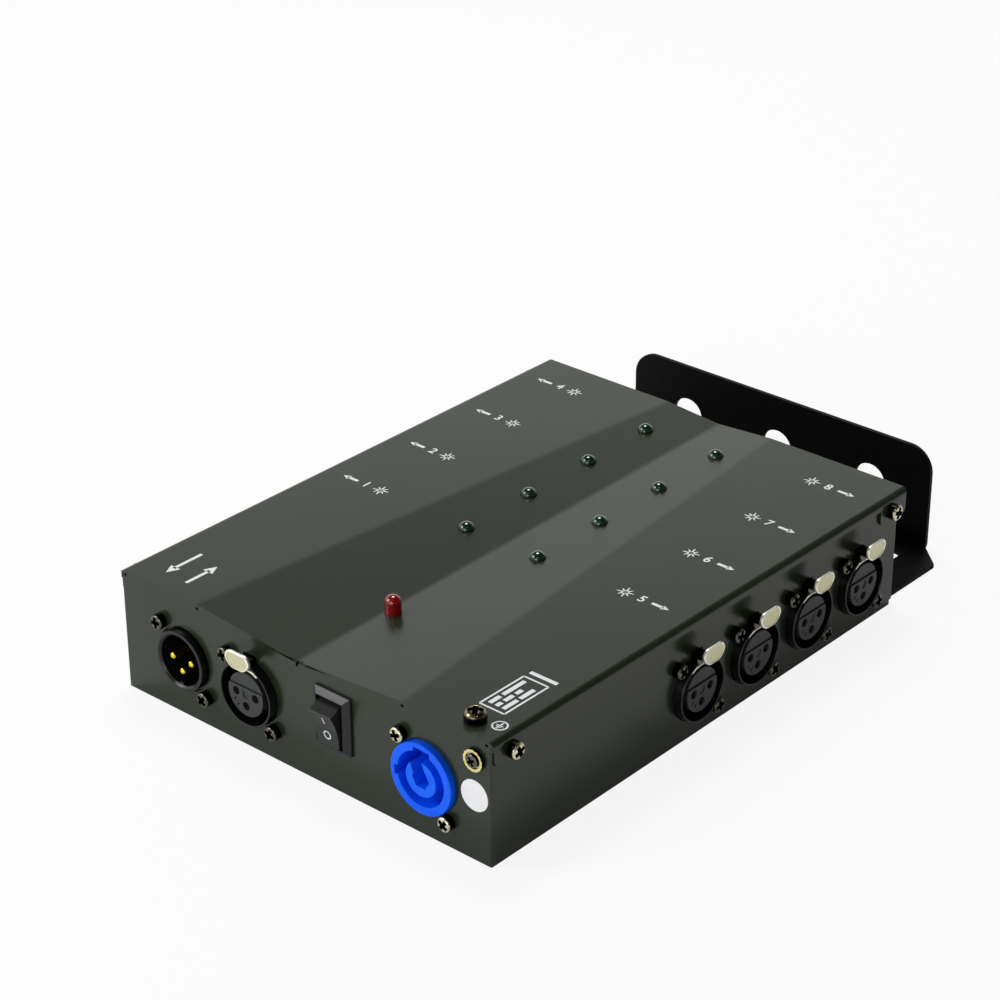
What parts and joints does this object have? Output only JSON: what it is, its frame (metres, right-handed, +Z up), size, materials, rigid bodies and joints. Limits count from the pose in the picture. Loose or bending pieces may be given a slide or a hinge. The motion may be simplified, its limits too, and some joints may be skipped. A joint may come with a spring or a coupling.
{
  "type": "dmx splitter",
  "caption": "Flat black lighting-control splitter box with a twist-lock mains inlet, locking three-pole sockets, lamps along a sunk trough and a folded hanging bracket.",
  "frame": {"origin": "middle of the footprint, brackets and latches included, on the plane the box stands on", "axes": "+X along the front to the right as the front is faced, +Y from the front to the hanging bracket, +Z up"},
  "size_m": [0.1732, 0.2596, 0.0478],
  "materials": {
    "powder_black": "fine satin powder coat, near black",
    "bracket_black": "fine satin powder coat, deep black",
    "socket_black": "moulded black, fine texture",
    "face_grey": "moulded dark grey insulator",
    "latch_silver": "satin nickel plate with a warm cast",
    "pin_gold": "polished gold plate",
    "inlet_blue": "moulded bright blue",
    "core_blue": "moulded deep blue",
    "switch_black": "moulded black, satin",
    "rocker_black": "moulded black, satin",
    "screw_nickel": "black nickel plate",
    "washer_brass": "yellow zinc plate",
    "lamp_green": "clear dark green dome",
    "lamp_red": "clear red dome",
    "board_green": "green solder resist",
    "coil_tan": "taped coil and laminated core",
    "label_white": "blank white paper disc"
  },
  "bodies": {
    "box": {"chassis_walls": "powder_black", "top_cover": "powder_black", "base_bracket": "bracket_black", "socket_link_shell": "socket_black", "socket_link_face": "face_grey", "socket_right_1_shell": "socket_black", "socket_right_1_face": "face_grey", "socket_right_2_shell": "socket_black", "socket_right_2_face": "face_grey", "socket_right_3_shell": "socket_black", "socket_right_3_face": "face_grey", "socket_right_4_shell": "socket_black", "socket_right_4_face": "face_grey", "socket_left_1_shell": "socket_black", "socket_left_1_face": "face_grey", "socket_left_2_shell": "socket_black", "socket_left_2_face": "face_grey", "socket_left_3_shell": "socket_black", "socket_left_3_face": "face_grey", "socket_left_4_shell": "socket_black", "socket_left_4_face": "face_grey", "plug_shell": "socket_black", "plug_floor": "socket_black", "plug_pin_1": "pin_gold", "plug_pin_2": "pin_gold", "plug_pin_3": "pin_gold", "inlet_housing": "inlet_blue", "inlet_core": "core_blue", "switch_body": "switch_black", "lamp_power": "lamp_red", "lamp_right_1": "lamp_green", "lamp_right_2": "lamp_green", "lamp_right_3": "lamp_green", "lamp_right_4": "lamp_green", "lamp_left_1": "lamp_green", "lamp_left_2": "lamp_green", "lamp_left_3": "lamp_green", "lamp_left_4": "lamp_green", "ear_screw_right_front": "screw_nickel", "ear_screw_right_rear": "screw_nickel", "ear_screw_left_front": "screw_nickel", "ear_screw_left_rear": "screw_nickel", "cover_screw": "screw_nickel", "earth_washer": "washer_brass", "earth_screw": "screw_nickel", "round_label": "label_white", "main_board": "board_green", "power_board": "board_green", "transformer": "coil_tan"},
    "latch_link": {"socket_link_latch": "latch_silver"},
    "latch_right_1": {"socket_right_1_latch": "latch_silver"},
    "latch_right_2": {"socket_right_2_latch": "latch_silver"},
    "latch_right_3": {"socket_right_3_latch": "latch_silver"},
    "latch_right_4": {"socket_right_4_latch": "latch_silver"},
    "latch_left_1": {"socket_left_1_latch": "latch_silver"},
    "latch_left_2": {"socket_left_2_latch": "latch_silver"},
    "latch_left_3": {"socket_left_3_latch": "latch_silver"},
    "latch_left_4": {"socket_left_4_latch": "latch_silver"},
    "rocker": {"switch_rocker": "rocker_black"}
  },
  "joints": [
    {"name": "latch_link_press", "type": "slide", "parent": "box", "child": "latch_link", "axis": [0, 1, 0], "range_m": [0, 0.0022], "stiffness_N_per_m": 900},
    {"name": "latch_right_1_press", "type": "slide", "parent": "box", "child": "latch_right_1", "axis": [-1, 0, 0], "range_m": [0, 0.0022], "stiffness_N_per_m": 900},
    {"name": "latch_right_2_press", "type": "slide", "parent": "box", "child": "latch_right_2", "axis": [-1, 0, 0], "range_m": [0, 0.0022], "stiffness_N_per_m": 900},
    {"name": "latch_right_3_press", "type": "slide", "parent": "box", "child": "latch_right_3", "axis": [-1, 0, 0], "range_m": [0, 0.0022], "stiffness_N_per_m": 900},
    {"name": "latch_right_4_press", "type": "slide", "parent": "box", "child": "latch_right_4", "axis": [-1, 0, 0], "range_m": [0, 0.0022], "stiffness_N_per_m": 900},
    {"name": "latch_left_1_press", "type": "slide", "parent": "box", "child": "latch_left_1", "axis": [1, 0, 0], "range_m": [0, 0.0022], "stiffness_N_per_m": 900},
    {"name": "latch_left_2_press", "type": "slide", "parent": "box", "child": "latch_left_2", "axis": [1, 0, 0], "range_m": [0, 0.0022], "stiffness_N_per_m": 900},
    {"name": "latch_left_3_press", "type": "slide", "parent": "box", "child": "latch_left_3", "axis": [1, 0, 0], "range_m": [0, 0.0022], "stiffness_N_per_m": 900},
    {"name": "latch_left_4_press", "type": "slide", "parent": "box", "child": "latch_left_4", "axis": [1, 0, 0], "range_m": [0, 0.0022], "stiffness_N_per_m": 900},
    {"name": "switch_rock", "type": "hinge", "parent": "box", "child": "rocker", "pos_m": [0.01575, -0.12195, 0.0258], "axis": [-1, 0, 0], "range_deg": [0, 28]}
  ]
}
